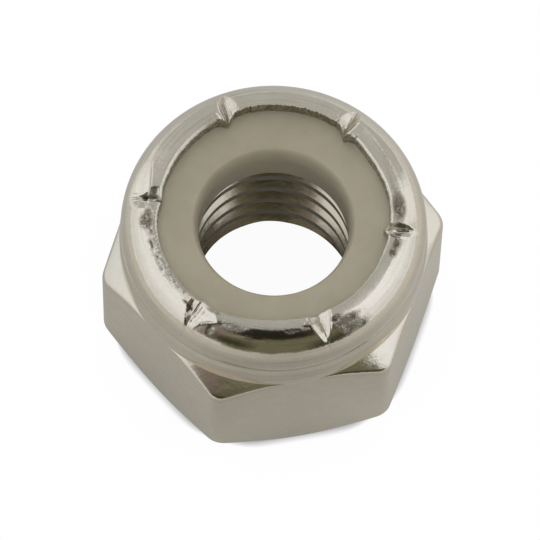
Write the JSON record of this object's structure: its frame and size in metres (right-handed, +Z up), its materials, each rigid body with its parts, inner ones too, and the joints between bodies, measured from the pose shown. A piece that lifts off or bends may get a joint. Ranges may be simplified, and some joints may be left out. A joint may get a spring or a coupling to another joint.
{
  "type": "nylon insert lock nut",
  "caption": "Hexagon lock nut with a round collar rolled in over a nylon locking ring, staked at its lip, with a threaded bore that is countersunk at the bearing face.",
  "frame": {"origin": "centre of the bearing face, on the thread's axis", "axes": "+Z up the thread's axis, from the bearing face to the rolled lip; +X through a corner of the hexagon"},
  "size_m": [0.0194, 0.0172, 0.0119],
  "materials": {
    "steel": "satin bright steel with a warm tint, lightly scuffed and galled on the rolled lip",
    "nylon": "matt warm grey nylon with a soft sheen"
  },
  "bodies": {
    "root": {"nut_body": "steel", "nylon_insert": "nylon"}
  },
  "joints": []
}
